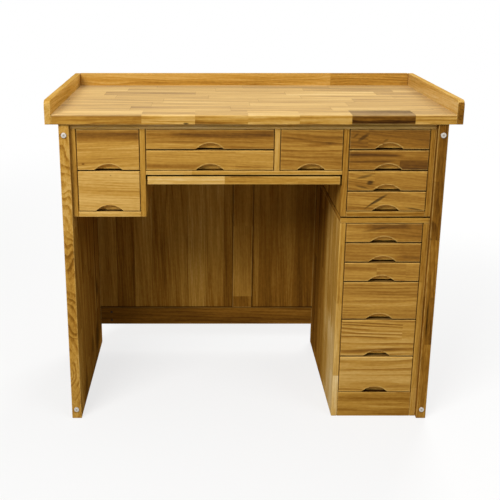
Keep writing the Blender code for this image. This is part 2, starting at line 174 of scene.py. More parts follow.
# Softboxes: place, aim, side, watts, and whether gloss shows them
SOFTBOXES = {
    "key": ((-2.2, -3.3, 3.7), (0.0, -0.1, 0.6), 2.4, 225.0, True),
    "fill": ((2.7, -2.7, 3.7), (0.1, -0.1, 0.6), 2.4, 55.0, True),
    "top": ((0.0, -0.2, 3.8), (0.0, 0.0, 0.9), 2.0, 16.0, True),
    "back": ((1.6, 3.4, 2.6), (0.0, 0.2, 0.5), 2.0, 130.0, False),
}
ROOM_LIGHT = 0.15

# Floor: its rings, its colour for the eye and for bounced light, and where it fades to white
FLOOR_RINGS = (0.0, 0.5, 1.0, 2.0, 4.0, 8.0, 14.0)
FLOOR_STEPS = 96
FLOOR_DROP = 0.0005
FLOOR_PALE = (0.80, 0.80, 0.79, 1.0)
FLOOR_BOUNCE = (0.36, 0.35, 0.34, 1.0)
FLOOR_FADE = (1.4, 4.0)
FLOOR_GLOW = 0.74
FLOOR_ROUGHNESS, FLOOR_GLOSS = 0.9, 0.1

# The wood from heart to sap, as seen on a screen from 0 to 255
SHADES = (
    (56, 32, 11),
    (101, 64, 19),
    (146, 99, 32),
    (186, 139, 58),
    (213, 172, 97),
    (233, 204, 146),
)
GLUE_LINE = (78, 48, 14)
# Pale edges: worn varnish and painted highlight
WORN_EDGE_AND_HIGHLIGHT = (226, 186, 104)
# Warm white of the painted sheen on the worktop's upper face
PAINTED_SHEEN_COLOUR = (232, 208, 160)
# Brighter golden of a drawer box's face in the pull: painted light in its recess
PAINTED_LIGHT_BOX_FACE = (250, 192, 86)
# Dark colour of stains, and of painted shade in the gaps and along shade lines
STAIN_AND_SHADE = (34, 18, 5)

# Grain: noises, pith and rings, knots, and how wide the cores of dark marks, glue lines and edges are
WARP = Scale(0.34, 0.055, 1.5)
STREAK = Scale(0.80, 0.034, 3.0)
FLAME = Scale(0.22, 0.030, 1.0)
LINE = Scale(0.16, 0.0034, 1.0)
FIBRE = Scale(0.060, 0.0015, 2.0)
PORE = Scale(0.012, 0.0007, 0.0)
MOTTLE = Scale(0.014, 0.006, 1.0)
NOISE_ROUGHNESS = 0.55
WARP_REACH = 0.024
PITH_SPREAD, PITH_DEPTH, PITH_NEAREST = 0.15, 0.045, 0.2
UNEVEN_REACH, UNEVEN_RINGS = 0.022, 1.3
LATE_WOOD_START, LATE_WOOD_END = 0.25, 0.88
KNOT_LONG, KNOT_WIDE, KNOT_SHARE = 0.13, 0.07, 0.02
KNOT_CORE, KNOT_EDGE = 0.012, 0.05
MARK_CORE = 0.35
GLUE_WIDTH = 0.0007
EDGE_WIDTH = 0.0044
WORKTOP_NOSE = 0.005
END_SKIN = 0.0022

# From where on, and up to where, a noise or a tone tells
FLAME_SPAN = (0.36, 0.62)
PORE_SPAN = (0.66, 0.78)
PALE_EDGE_SPAN = (0.30, 0.60)
MARK_SPAN = (0.15, 0.55)
PAINTED_SHEEN_SPAN = (-0.3, 0.5)

# Random draws: how far a draw moves a noise, and numbers that keep one draw apart from another
NOISE_JUMP, RING_JUMP, KNOT_JUMP, BLOCK_JUMP = 60.0, 50.0, 30.0, 7.0
STAVE_DRAW, BOX_DRAW, LEAD_DRAW, PATCH_DRAW = 0.37, 0.71, 0.5, 0.31
BOARD_SEED, FRONT_SEED, STRIP_SEED, BOX_SEED = 1.5, 51.5, 91.5, 101.5

# How far each part of the figure moves the tone from heart to sap
LINE_DEPTH = 0.28
FIBRE_DEPTH = 0.18
MOTTLE_DEPTH = 0.13
PORE_DEPTH = 0.05
KNOT_DEPTH = 0.30
END_GRAIN_DEPTH = 0.16
RING_LEAST = 0.30
PATCH_FIGURE = 0.02

# Soft bands: how far they fade past their ends and inside them, and how the grain's lines break them up
BAND_OUT, BAND_IN = 0.12, 0.05
BAND_LEAST, BAND_LINES = 0.3, 1.4

# Varnish and bare wood: finishes, roughness and relief
BOARD_FINISH = Finish(0.0, 0.0, 0.45)
WORKTOP_FINISH = Finish(0.0, 0.05, 0.45)
RAIL_FINISH = Finish(0.0, 0.0, 0.12)
FRONT_FINISH = Finish(0.10, 0.03, 0.70)
COAT_ROUGHNESS, COAT_IOR = 0.32, 1.4
# How far a front's sides and head are paled: wear and painted highlight
SIDE_WEAR_AND_HIGHLIGHT, HEAD_WEAR_AND_HIGHLIGHT = 0.30, 0.75
RUB_POLISH = 0.10
VARNISH_ROUGHNESS, BARE_ROUGHNESS = 0.42, 0.62
FIBRE_ROUGHNESS, PORE_ROUGHNESS, BARE_PORE_ROUGHNESS = 0.16, 0.14, 0.10
FIBRE_RELIEF, PORE_RELIEF, GLUE_RELIEF = 0.45, 0.8, 0.9
GRAIN_STRENGTH, GRAIN_RELIEF = 0.45, 0.00025
GLUE_SHADE = 0.5

# Drawers: the finger pull and the marks of a front, and the walls and finger joints of a box
PULL_WIDTH = 0.082
PULL_RISE = 0.019
MARK_DEPTH = 0.05
BOX_SIDE = 0.012
# The face of a box behind its pull: its tone, and how far the golden of painted light covers it
BOX_FRONT_TONE = 0.76
BOX_FACE_SHARE = 0.85
BOX_GLOSS, BOX_RUB = 0.12, 0.25
FINGER, FINGER_SHADE = 0.0105, 0.6

# Painted shade in the gaps about the fronts: where it starts and ends behind their faces, its reach and
# strength
GAP_START, GAP_END = 0.003, 0.0178
GAP_REACH = 0.0056
GAP_SHADE, FRONT_SHADE = 0.92, 0.65
SLIT_START = 0.0015

# Bolts in the slab fronts and screws in the back rail: sizes and metals
BOLT_HEAD = 0.0035
BOLT_RIM = 0.0012
BOLT_SOCKET = 0.0029
BOLT_SOCKET_DEPTH = 0.0021
SCREW_RADIUS = 0.0042
SCREW_RIM = 0.0006
SCREW_SOCKET = 0.0016
SCREW_DEPTH = 0.006
SCREW_INSET = 0.041
SCREW_HEIGHTS = (0.23, 0.71)
SOCKET_SHADE = (0.0004, 0.0016)
SOCKET_FLARE = 1.08
NICKEL = Metal((184, 177, 166), (216, 210, 200), (168, 160, 148), 0.36)
STEEL = Metal((38, 32, 27), (70, 62, 54), (14, 11, 9), 0.40)
METAL_GLOSS = 0.5
METAL_SHARE, METAL_SPREAD = 0.85, 0.2
CLOUD_SCALES, CLOUD_DETAIL, CLOUD_SPAN = (900.0, 900.0, 900.0), 3.0, (0.35, 0.75)
RUB_SCALES, RUB_DETAIL = (2600.0, 300.0, 240.0), 2.0
RUB_ROUGHNESS, RUB_STRENGTH, RUB_RELIEF = 0.22, 0.3, 0.0001
TURN_STEPS = 48
RIM_STEPS = 7

# Strip that closes the back of the gap over the pedestal, dark with that gap's painted shade
STRIP_WIDTH, STRIP_HEIGHT = 0.016, 0.0035
STRIP_INSET = 0.001
STRIP_ROUND = 0.3
STRIP_STEPS = 24

# Finish of new meshes
POLE_MERGE = 1e-6
SHARP_ANGLE = math.radians(40)


class Field:
    """A value over a surface: one socket of a material's nodes. Arithmetic on fields adds Math nodes."""

    def __init__(self, tree, socket=None):
        self.tree = tree
        self.socket = socket

    def node(self, kind, settings=None, inputs=None, output=0):
        """One more node: its settings first, then a number, colour or link on each named input."""
        node = self.tree.nodes.new(kind)
        for name, value in (settings or {}).items():
            if name == "stops":
                lay_stops(node.color_ramp, value)
            else:
                setattr(node, name, value)
        for name, value in (inputs or {}).items():
            if isinstance(value, Field):
                self.tree.links.new(value.socket, node.inputs[name])
            else:
                node.inputs[name].default_value = value
        return Field(self.tree, node.outputs[output])

    def math(self, operation, *values):
        return self.node("ShaderNodeMath", {"operation": operation}, dict(enumerate(values)))

    def __add__(self, other):
        return self.math("ADD", self, other)

    __radd__ = __add__

    def __sub__(self, other):
        return self.math("SUBTRACT", self, other)

    def __rsub__(self, other):
        return self.math("SUBTRACT", other, self)

    def __mul__(self, other):
        return self.math("MULTIPLY", self, other)

    __rmul__ = __mul__

    def __truediv__(self, other):
        return self.math("DIVIDE", self, other)

    def __gt__(self, other):
        return self.math("GREATER_THAN", self, other)

    def __lt__(self, other):
        return self.math("LESS_THAN", self, other)

    def __abs__(self):
        return self.math("ABSOLUTE", self)

    def floor(self):
        return self.math("FLOOR", self)

    def fract(self):
        return self.math("FRACT", self)

    def root(self):
        return self.math("SQRT", self)

    def least(self, other):
        return self.math("MINIMUM", self, other)

    def most(self, other):
        return self.math("MAXIMUM", self, other)

    def rise(self, low, high):
        """0 up to low, 1 from high on, and a smooth step between."""
        settings = {"interpolation_type": "SMOOTHSTEP"}
        return self.node("ShaderNodeMapRange", settings, {"Value": self, "From Min": low, "From Max": high})

    def pick(self, off, on):
        """The number off where this is 0, the number on where it is 1."""
        return self.node("ShaderNodeMix", {"data_type": "FLOAT"}, {0: self, 2: off, 3: on})

    def blend(self, off, on):
        """The colour off where this is 0, the colour on where it is 1."""
        settings = {"data_type": "RGBA", "clamp_factor": True}
        return self.node("ShaderNodeMix", settings, {0: self, 6: off, 7: on}, 2)

    def vector(self, x, y, z):
        return self.node("ShaderNodeCombineXYZ", None, {"X": x, "Y": y, "Z": z})

    def split(self):
        return [self.node("ShaderNodeSeparateXYZ", None, {"Vector": self}, axis) for axis in "XYZ"]

    def vector_math(self, operation, other=(0.0, 0.0, 0.0), output=0):
        return self.node("ShaderNodeVectorMath", {"operation": operation}, {0: self, 1: other}, output)

    def noise(self, detail=2.0, roughness=0.5):
        """Smooth noise from 0 to 1 at this vector."""
        inputs = {"Vector": self, "Scale": 1.0, "Detail": detail, "Roughness": roughness}
        return self.node("ShaderNodeTexNoise", {"noise_dimensions": "3D"}, inputs)

    def chance(self):
        """Three numbers from 0 to 1, drawn by this vector."""
        drawn = self.node("ShaderNodeTexWhiteNoise", {"noise_dimensions": "3D"}, {"Vector": self}, "Color")
        return drawn.split()


def lay_stops(ramp, stops):
    """Puts (place, colour) stops on a ramp that starts with two."""
    while len(ramp.elements) < len(stops):
        ramp.elements.new(0.5)
    for element, (place, colour) in zip(ramp.elements, stops):
        element.position = place
        element.color = colour


def paint(screen):
    """The linear colour of a screen colour from 0 to 255, by the sRGB curve."""
    part = np.asarray(screen, float) / 255
    linear = np.where(part > 0.04045, ((part + 0.055) / 1.055) ** 2.4, part / 12.92)
    return (*(float(c) for c in linear), 1.0)


def shader(name, constants):
    """A new Principled material with constants on its sockets, its root field and its principled node."""
    material = bpy.data.materials.new(name)
    material.use_nodes = True
    tree = material.node_tree
    principled = tree.nodes["Principled BSDF"]
    for socket, value in constants.items():
        principled.inputs[socket].default_value = value
    return material, Field(tree), principled


def feed(principled, socket, field):
    field.tree.links.new(field.socket, principled.inputs[socket])


def feed_bump(principled, height, strength, distance):
    """Raises the surface by a height times a distance in metres."""
    bump = {"Height": height, "Strength": strength, "Distance": distance}
    feed(principled, "Normal", height.node("ShaderNodeBump", None, bump))


def stepped(along, low, length, joints, values):
    """The first value up to the first joint along the board, the next up to the second, and so on."""
    total = values[0]
    for joint, before, after in zip(joints, values, values[1:]):
        total = (along > low + joint * length) * (after - before) + total
    return total


def depths(places, low, high):
    """How far a point lies inside each pair of a box's sides, along X, Y and Z."""
    return [(high[k] - low[k]) / 2 - abs(places[k] - (high[k] + low[k]) / 2) for k in range(3)]


def edge_mask(inside):
    """1 on the outer edges of a box, 0 away from them.

    On a face one of the three depths is nil, so near an edge the middle one is small.
    """
    smallest = inside[0].least(inside[1]).least(inside[2])
    largest = inside[0].most(inside[1]).most(inside[2])
    middle = inside[0] + inside[1] + inside[2] - smallest - largest
    return 1 - middle.rise(0.0, EDGE_WIDTH)


def pull_rim(x, z, low, high):
    """1 along the rim of a front's half-moon pull: the arc of a circle through its two ends and its crown."""
    radius = (PULL_WIDTH**2 / 4 + PULL_RISE**2) / (2 * PULL_RISE)
    across = x - (low[0] + high[0]) / 2
    up = z - (low[2] + PULL_RISE - radius)
    return 1 - abs((across * across + up * up).root() - radius).rise(0.0, EDGE_WIDTH)


def front_edges(inside, places, low, high):
    """The pale edges of a drawer front, worn and with painted highlight: most along foot and pull, then its
    head, least at its sides.
    """
    foot = 1 - (places[2] - low[2]).rise(0.0, EDGE_WIDTH)
    head = (1 - (high[2] - places[2]).rise(0.0, EDGE_WIDTH)) * HEAD_WEAR_AND_HIGHLIGHT
    sides = edge_mask(inside) * SIDE_WEAR_AND_HIGHLIGHT
    return sides.most(head).most(foot).most(pull_rim(places[0], places[2], low, high))


def drawer_gaps():
    """Boxes about the gaps that get painted shade: round the fronts of each bay, round the tray's lip and
    over the pedestal.
    """
    bays = {"tray": [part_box("tray")]}
    for drawer in FRONTS:
        bays.setdefault(drawer.rsplit("_", 1)[0], []).append(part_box(f"{drawer}_front"))
    gaps = []
    for boxes in bays.values():
        low = np.min([box[0] for box in boxes], axis=0)
        high = np.max([box[1] for box in boxes], axis=0)
        high[1] = low[1] + GAP_END
        low[1] += GAP_START
        gaps.append((low - (GAP_REACH, 0.0, GAP_REACH), high + (GAP_REACH, 0.0, GAP_REACH)))
    low, high = (np.array(corner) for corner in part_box("pedestal_top"))
    low[:2] += SLIT_START
    low[2] = high[2] - GAP_REACH
    high[2] += SLIT_START
    return gaps + [(low, high)]


def in_gaps(place, low, high):
    """1 where painted shade goes: on those parts of a board between low and high that lie in a gap, or
    nothing where none does.
    """
    shade = None
    for start, stop in drawer_gaps():
        if np.any(start > high) or np.any(stop < low):
            continue
        away = place.vector_math("SUBTRACT", tuple((start + stop) / 2))
        x, y, z = away.vector_math("DIVIDE", tuple((stop - start) / 2)).split()
        here = abs(x).most(abs(y)).most(abs(z)) < 1.0
        shade = shade.most(here) if shade else here
    return shade


def glue_line(place, pitch):
    """1 along the joints of a row of pieces, one pitch apart."""
    return 1 - ((0.5 - abs(place.fract() - 0.5)) * pitch).rise(0.0, GLUE_WIDTH)


def laid_up(root, board, along, across, low, size, seed):
    """How the board is glued up: each block's tone, figure, place across its stave, chances and glue lines.

    Staves lie side by side across the board, and blocks end to end along each stave. A lead is the
    first stave, with blocks of its own. The board's outer edges have no glue line.
    """
    length, width = size
    tone = stepped(along, low[0], length, board.joints, board.tones)
    figure = stepped(along, low[0], length, board.joints, board.figure)
    col = stepped(along, low[0], length, board.joints, tuple(range(len(board.tones))))
    spread = board.spread
    slope = board.slope
    row = 0.0
    glue = None
    if board.stave:
        place = ((across - low[1]) / board.stave).most(0.0).least(width / board.stave)
        row = place.floor()
        across = (place - row - 0.5) * board.stave
        nudge = root.vector(row, seed, STAVE_DRAW).chance()[0]
        lengthwise = along / board.block + nudge * BLOCK_JUMP
        col = lengthwise.floor()
        glue = glue_line(lengthwise, board.block)
        if board.lead:
            lead = board.lead
            first = row < 0.5
            lead_col = stepped(along, low[0], length, lead.joints, tuple(range(len(lead.tones))))
            tone = first.pick(tone, stepped(along, low[0], length, lead.joints, lead.tones))
            col = first.pick(col, lead_col + LEAD_DRAW)
            spread = first.pick(spread, 0.0)
            if lead.figure:
                figure = first.pick(figure, lead.figure)
                slope = first.pick(slope, lead.slope)
            glue = glue * (1 - first)
        inner = place.most(0.5).least(width / board.stave - 0.5)
        glue = glue.most(glue_line(inner, board.stave))
    chance = root.vector(row, col, seed).chance()
    return (chance[2] - 0.5) * spread + tone, figure, across + along * slope, chance, glue


def drawn_out(root, spot, chance, scale):
    """Noise drawn out along the fibre, with a place of its own for each block."""
    along, across, through = spot
    place = root.vector(
        along / scale.long + chance[1] * NOISE_JUMP,
        across / scale.wide + chance[2] * NOISE_JUMP,
        through / scale.wide + chance[0] * NOISE_JUMP,
    )
    return place.noise(scale.detail, NOISE_ROUGHNESS)


def ring_lines(root, spot, chance, gap):
    """Growth rings cut by the board: each darkens slowly across its width and ends at once in late wood.

    A point's ring is its distance from a wandering pith over the gap between rings, unevenly spaced.
    """
    drift = drawn_out(root, spot, chance, WARP)
    side = spot[1] + (chance[0] - 0.5) * PITH_SPREAD + (drift - 0.5) * (2 * WARP_REACH)
    deep = spot[2] + (chance[1] * (1 - PITH_NEAREST) + PITH_NEAREST) * PITH_DEPTH
    radius = (side * side + deep * deep).root()
    uneven = root.vector(radius / UNEVEN_REACH, chance[2] * RING_JUMP, chance[0] * RING_JUMP).noise(1.0)
    ring = (radius / gap + uneven * UNEVEN_RINGS).fract()
    return ring.rise(LATE_WOOD_START, LATE_WOOD_END) * (1 - ring.rise(LATE_WOOD_END, 1.0))


def pin_knots(root, spot, chance):
    """1 in the few small knots: the hearts of some cells of a net drawn out along the fibre."""
    along = spot[0] / KNOT_LONG + chance[0] * KNOT_JUMP
    across = spot[1] / KNOT_WIDE + chance[1] * KNOT_JUMP
    net = {"Vector": root.vector(along, across, 0.0), "Scale": 1.0}
    away = root.node("ShaderNodeTexVoronoi", {"voronoi_dimensions": "2D"}, net, "Distance")
    drawn = root.node("ShaderNodeTexVoronoi", {"voronoi_dimensions": "2D"}, net, "Color").split()[0]
    return (drawn < KNOT_SHARE) * (1 - away.rise(KNOT_CORE, KNOT_EDGE))


def soft_band(band, reach, height, drawn):
    """1 in the middle of a band and 0 a half width away from it, its edges wandering with the streaks.

    It fades in and out at its ends, and the grain's lines break it up.
    """
    across = 1 - abs(height + (drawn.streaks - 0.5) * band.wave - band.height).rise(0.0, band.half)
    begun = reach.rise(band.start - BAND_OUT, band.start + BAND_IN)
    ended = reach.rise(band.stop - BAND_IN, band.stop + BAND_OUT)
    return across * (BAND_LEAST + drawn.lines * BAND_LINES) * (begun * (1 - ended))


def stain(place, low, high, mark):
    """1 in the ellipsoid of a mark, a stain or a line of painted shade, on the board between low and high,
    fading out at its skin.
    """
    centre = [a + (b - a) * share for a, b, share in zip(low, high, mark.centre)]
    away = place.vector_math("SUBTRACT", centre)
    if mark.tilt:
        turn = {"Vector": away, "Angle": math.radians(mark.tilt)}
        away = away.node("ShaderNodeVectorRotate", {"rotation_type": "Y_AXIS"}, turn)
    length = away.vector_math("DIVIDE", mark.radii).vector_math("LENGTH", output="Value")
    return 1 - length.rise(MARK_CORE, 1.0)


def figured(root, spot, chance, figure, board):
    """The figure of clear wood: how far it moves the tone, with its streaks, lines, fibre and pores."""
    streaks = drawn_out(root, spot, chance, STREAK)
    flame = drawn_out(root, spot, chance, FLAME).rise(*FLAME_SPAN)
    lines = drawn_out(root, spot, chance, LINE)
    fibre = drawn_out(root, spot, chance, FIBRE)
    mottle = drawn_out(root, spot, chance, MOTTLE)
    pores = drawn_out(root, spot, chance, PORE).rise(*PORE_SPAN)
    shift = (streaks - 0.5) * board.streak + (lines - 0.5) * LINE_DEPTH + (fibre - 0.5) * FIBRE_DEPTH
    shift = shift + (mottle - 0.5) * MOTTLE_DEPTH - pores * PORE_DEPTH
    shift = shift - ring_lines(root, spot, chance, board.gap) * figure * (RING_LEAST + flame)
    return Figure(shift - pin_knots(root, spot, chance) * KNOT_DEPTH, streaks, lines, fibre, pores)


def wood_tone(root, board, places, inside, low, high, seed):
    """The tone of the wood from 0, heart, to 1, sap, with its glue lines and its figure."""
    grain, face = AXES[board.grain], AXES[board.face]
    wide = 3 - grain - face
    size = (high[grain] - low[grain], high[wide] - low[wide])
    tone, figure, across, chance, glue = laid_up(
        root, board, places[grain], places[wide], (low[grain], low[wide]), size, seed
    )
    reach = (places[grain] - low[grain]) / size[0]
    height = (places[wide] - low[wide]) / size[1]
    if board.patch:
        left, right, under, over, patch_tone = board.patch
        patch = (reach > left) * (reach < right) * (height > under) * (height < over)
        tone = patch.pick(tone, patch_tone)
        figure = patch.pick(figure, PATCH_FIGURE)
        chance = [c + patch * PATCH_DRAW for c in chance]
    through = places[face] - (low[face] + high[face]) / 2 if board.stave else places[face]
    drawn = figured(root, (places[grain], across, through), chance, figure, board)
    tone = drawn.shift + tone + (reach - 0.5) * board.fade
    for band in board.bands:
        tone = tone + soft_band(band, reach, height, drawn) * band.strength
    tone = tone + (1 - inside[grain].rise(END_SKIN / 2, END_SKIN)) * board.end
    return tone, glue, drawn


def ramp(root, tone):
    """The wood's colour at a tone."""
    stops = [(k / (len(SHADES) - 1), paint(shade)) for k, shade in enumerate(SHADES)]
    return root.node("ShaderNodeValToRGB", {"stops": stops}, {"Fac": tone})


def grain_relief(drawn):
    """How the fibre stands up and the pores sink in."""
    return drawn.fibre * FIBRE_RELIEF - drawn.pores * PORE_RELIEF


def varnished(name, board, node, seed, finish):
    """Varnished wood for one CAD node: staves, rings, streaks and pores, with glue lines, worn edges with
    painted highlight, painted sheen where given and painted shade in the gaps.
    """
    low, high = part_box(node)
    constants = {
        "Specular IOR Level": finish.gloss,
        "Coat Weight": finish.coat,
        "Coat Roughness": COAT_ROUGHNESS,
        "Coat IOR": COAT_IOR,
    }
    material, root, principled = shader(name, constants)
    place = root.node("ShaderNodeTexCoord", output="Object")
    places = place.split()
    inside = depths(places, low, high)
    tone, glue, drawn = wood_tone(root, board, places, inside, low, high, seed)
    is_front = node.endswith("_front")
    edges = front_edges(inside, places, low, high) if is_front else edge_mask(inside)
    pale_edges = edges * drawn.fibre.rise(*PALE_EDGE_SPAN) * finish.wear_and_highlight
    relief = grain_relief(drawn)
    colour = ramp(root, tone)
    # Painted sheen: the upper face paled towards a warm white, less on dark wood
    if board.painted_sheen:
        upper = (1 - (high[2] - places[2]).rise(0.0, WORKTOP_NOSE)) * tone.rise(*PAINTED_SHEEN_SPAN)
        colour = (upper * board.painted_sheen).blend(colour, paint(PAINTED_SHEEN_COLOUR))
    if glue:
        colour = (glue * GLUE_SHADE).blend(colour, paint(GLUE_LINE))
        relief = relief - glue * GLUE_RELIEF
    # Pale edges: worn varnish and painted highlight
    colour = pale_edges.blend(colour, paint(WORN_EDGE_AND_HIGHLIGHT))
    # Dark marks: stains of the wood, and lines of painted shade where a board gives them
    for mark in board.marks:
        darkened = stain(place, low, high, mark) * drawn.fibre.rise(*MARK_SPAN)
        colour = (darkened * mark.strength).blend(colour, paint(STAIN_AND_SHADE))
    # Painted shade in the gaps, in the dark stain colour; on a front only above its pull
    shade = in_gaps(place, low, high)
    if shade:
        depth = (places[2] > low[2] + PULL_RISE) * FRONT_SHADE if is_front else GAP_SHADE
        colour = (shade * depth).blend(colour, paint(STAIN_AND_SHADE))
    feed(principled, "Base Color", colour)
    rough = VARNISH_ROUGHNESS + (drawn.fibre - 0.5) * FIBRE_ROUGHNESS + drawn.pores * PORE_ROUGHNESS
    feed(principled, "Roughness", rough - pale_edges * RUB_POLISH)
    feed_bump(principled, relief, GRAIN_STRENGTH, GRAIN_RELIEF)
    return material


def bare_box(name, node, seed):
    """Bare wood of a drawer box: fibre along each wall, finger joints at its corners, worn pale at its edges.

    The face behind the drawer front, which shows in the pull, takes a brighter golden as painted light in the
    pull's recess, and has no joints.
    """
    low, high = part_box(node)
    material, root, principled = shader(name, {"Specular IOR Level": BOX_GLOSS})
    x, y, z = root.node("ShaderNodeTexCoord", output="Object").split()
    inside = depths((x, y, z), low, high)
    end_wall = inside[1] < BOX_SIDE
    corner = end_wall * (inside[0] < BOX_SIDE)
    finger = ((z - low[2]) / (2 * FINGER)).fract() < 0.5
    crossing = corner.pick(end_wall, finger)
    chance = root.vector(crossing, seed, BOX_DRAW).chance()
    spot = (crossing.pick(y, x), z, crossing.pick(x, y))
    drawn = figured(root, spot, chance, BOX_BOARD.figure[0], BOX_BOARD)
    end_grain = corner * (crossing.pick(inside[1], inside[0]) < END_SKIN)
    joint = glue_line((z - low[2]) / FINGER, FINGER) * corner
    tone = (chance[2] - 0.5) * BOX_BOARD.spread + BOX_BOARD.tones[0] - end_grain * END_GRAIN_DEPTH
    # The face behind the front takes a brighter golden: painted light in the pull's recess
    shown = y < low[1] + END_SKIN
    tone = shown.pick(tone, BOX_FRONT_TONE) + drawn.shift
    colour = (shown * BOX_FACE_SHARE).blend(ramp(root, tone), paint(PAINTED_LIGHT_BOX_FACE))
    colour = (joint * (1 - shown) * FINGER_SHADE).blend(colour, paint(GLUE_LINE))
    pale_edges = edge_mask(inside) * drawn.fibre.rise(*PALE_EDGE_SPAN) * (1 - shown) * BOX_RUB
    feed(principled, "Base Color", pale_edges.blend(colour, paint(WORN_EDGE_AND_HIGHLIGHT)))
    rough = BARE_ROUGHNESS + (drawn.fibre - 0.5) * FIBRE_ROUGHNESS + drawn.pores * BARE_PORE_ROUGHNESS
    feed(principled, "Roughness", rough)
    feed_bump(principled, grain_relief(drawn) - joint, GRAIN_STRENGTH, GRAIN_RELIEF)
    return material


def front(tones, **more):
    """A drawer front's board: fibre from side to side."""
    return Board("X", "Y", tones, **more)


def front_mark(x, z, half_wide, half_high, strength, tilt=0.0):
    """A dark stain through a drawer front."""
    return Mark((x, 0.0, z), (half_wide, MARK_DEPTH, half_high), strength, tilt)


# Drawer fronts
FRONTS = {
    "drawer_left_1": front(
        (0.61,),
        figure=(0.08,),
        gap=0.013,
        slope=-0.04,
        bands=(Band(0.88, 0.24, 0.30, -0.34), Band(0.52, 0.05, 0.25, -0.10)),
    ),
    "drawer_left_2": front(
        (0.70,),
        gap=0.008,
        bands=(Band(0.46, 0.05, 0.30, -0.08, 0.3),),
        marks=(front_mark(0.53, 0.90, 0.003, 0.0025, 0.5),),
    ),
    "drawer_wide_1": front(
        (0.47,),
        figure=(0.07,),
        bands=(Band(0.74, 0.26, 0.90, -0.24, 0.25), Band(0.20, 0.20, 0.30, 0.08, 0.0, 0.4)),
    ),
    "drawer_wide_2": front(
        (0.61, 0.58),
        joints=(0.70,),
        figure=(0.07, 0.05),
        gap=0.008,
        bands=(Band(0.20, 0.16, 0.20, -0.22, 0.0, 0.42), Band(0.18, 0.12, 0.25, -0.10, 0.55, 0.9)),
    ),
    "drawer_small_1": front(
        (0.49,),
        figure=(0.10,),
        gap=0.017,
        slope=0.06,
        bands=(
            Band(0.52, 0.035, 0.30, -0.20),
            Band(0.64, 0.03, 0.25, -0.14, 0.0, 0.8),
            Band(0.82, 0.12, 0.30, -0.06),
        ),
    ),
    "drawer_right_1": front(
        (0.36, 0.36),
        joints=(0.23,),
        figure=(0.10, 0.04),
        slope=0.10,
        marks=(
            front_mark(0.165, 0.60, 0.026, 0.0075, 0.70, 37.0),
            front_mark(0.07, 0.70, 0.014, 0.0040, 0.50, 42.0),
            front_mark(0.45, 0.46, 0.011, 0.0045, 0.45, 28.0),
        ),
    ),
    "drawer_right_2": front(
        (0.40,),
        figure=(0.08,),
        slope=0.06,
        bands=(Band(0.80, 0.16, 0.50, -0.28, 0.0, 0.6), Band(0.45, 0.08, 0.40, -0.20, 0.0, 0.5)),
        patch=Patch(0.64, 1.0, 0.02, 0.50, 0.24),
    ),
    "drawer_right_3": front(
        (0.51, 0.51),
        joints=(0.34,),
        figure=(0.20, 0.04),
        slope=0.12,
        marks=(
            front_mark(0.28, 0.42, 0.014, 0.010, 0.85, 20.0),
            front_mark(0.21, 0.74, 0.034, 0.0060, 0.60, 14.0),
            front_mark(0.18, 0.20, 0.026, 0.0045, 0.60, -14.0),
        ),
    ),
    "drawer_right_4": front(
        (0.51,),
        figure=(0.08,),
        slope=0.10,
        bands=(Band(0.12, 0.08, 0.30, -0.10, 0.0, 0.3),),
        marks=(
            front_mark(0.40, 0.60, 0.042, 0.0062, 0.80, 34.0),
            front_mark(0.30, 0.34, 0.032, 0.0036, 0.65, 38.0),
            front_mark(0.86, 0.12, 0.036, 0.0034, 0.70, -9.0),
        ),
    ),
    "drawer_pedestal_1": front(
        (0.45,),
        figure=(0.05,),
        fade=-0.14,
        bands=(Band(0.85, 0.26, 0.50, -0.18, 0.32, 0.78),),
        marks=(front_mark(0.40, 0.72, 0.055, 0.0055, 0.40, 11.0),),
    ),
    "drawer_pedestal_2": front((0.505,), figure=(0.04,), bands=(Band(0.3, 0.4, 0.6, -0.16, 0.75),)),
    "drawer_pedestal_3": front((0.56, 0.49, 0.56), joints=(0.43, 0.82), figure=(0.03, 0.10, 0.03), gap=0.007),
    "drawer_pedestal_4": front((0.54,), figure=(0.11,), gap=0.0085, slope=0.01),
    "drawer_pedestal_5": front(
        (0.65,), figure=(0.24,), slope=0.02, patch=Patch(0.83, 1.0, 0.42, 0.88, 0.62)
    ),
    "drawer_pedestal_6": front(
        (0.72,), figure=(0.18,), gap=0.011, slope=-0.02, bands=(Band(0.10, 0.12, 0.20, -0.10),)
    ),
}

